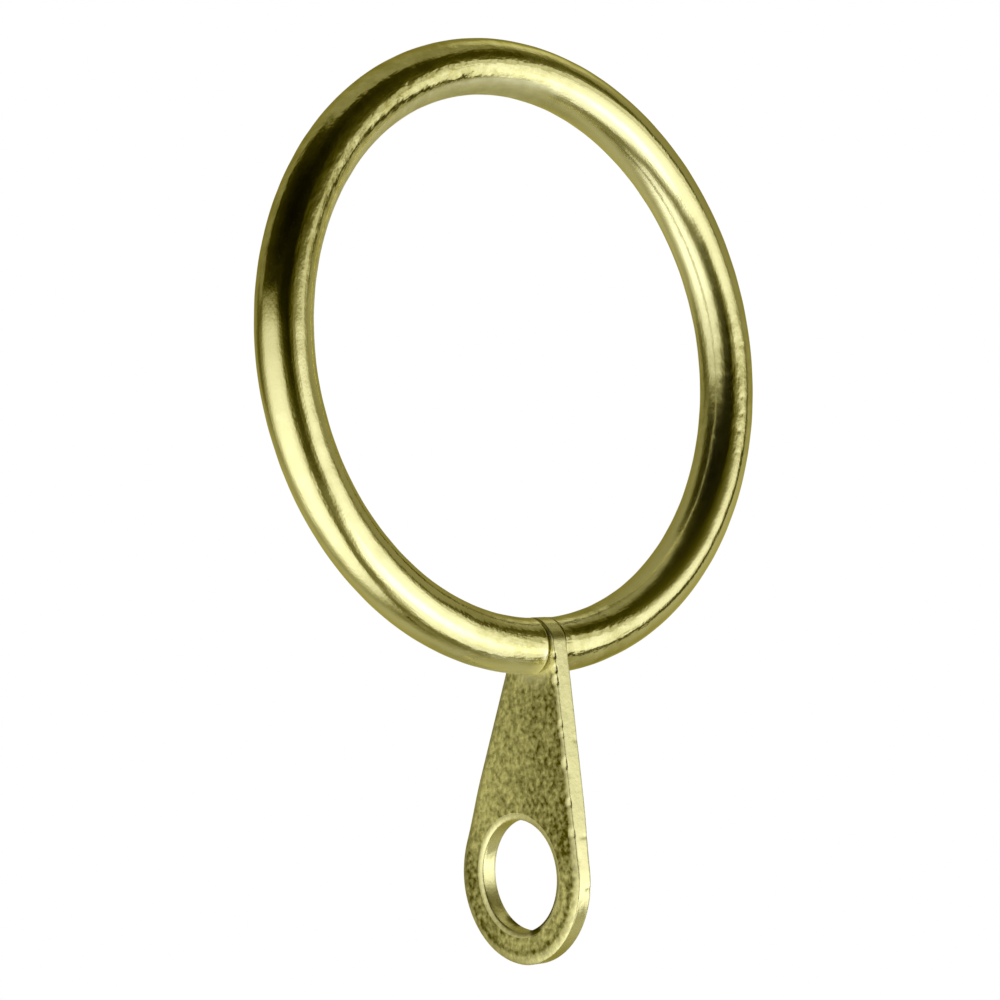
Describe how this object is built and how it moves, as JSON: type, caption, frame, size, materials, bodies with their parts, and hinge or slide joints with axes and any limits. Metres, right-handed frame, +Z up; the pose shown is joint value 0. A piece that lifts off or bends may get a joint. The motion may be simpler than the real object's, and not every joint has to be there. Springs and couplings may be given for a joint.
{
  "type": "curtain ring",
  "caption": "Round brass wire curtain ring closed by a flat tapered eyelet tab below, so that it slides on a curtain rod and carries a curtain hook in its eye.",
  "frame": {"origin": "centre of the ring, on the line of the curtain rod", "axes": "+Z up, with the eyelet tab hanging towards -Z; +Y along the curtain rod, towards the side that the eye leans to; +X square to the tab's plate"},
  "size_m": [0.0462, 0.0128, 0.0668],
  "materials": {
    "polished_wire": "polished round wire with light handling marks",
    "tumbled_plate": "tumbled stamped plate, mottled on its flat faces and bright on its rounded edges"
  },
  "bodies": {
    "root": {"ring": "polished_wire", "eyelet_tab": "tumbled_plate"}
  },
  "joints": []
}
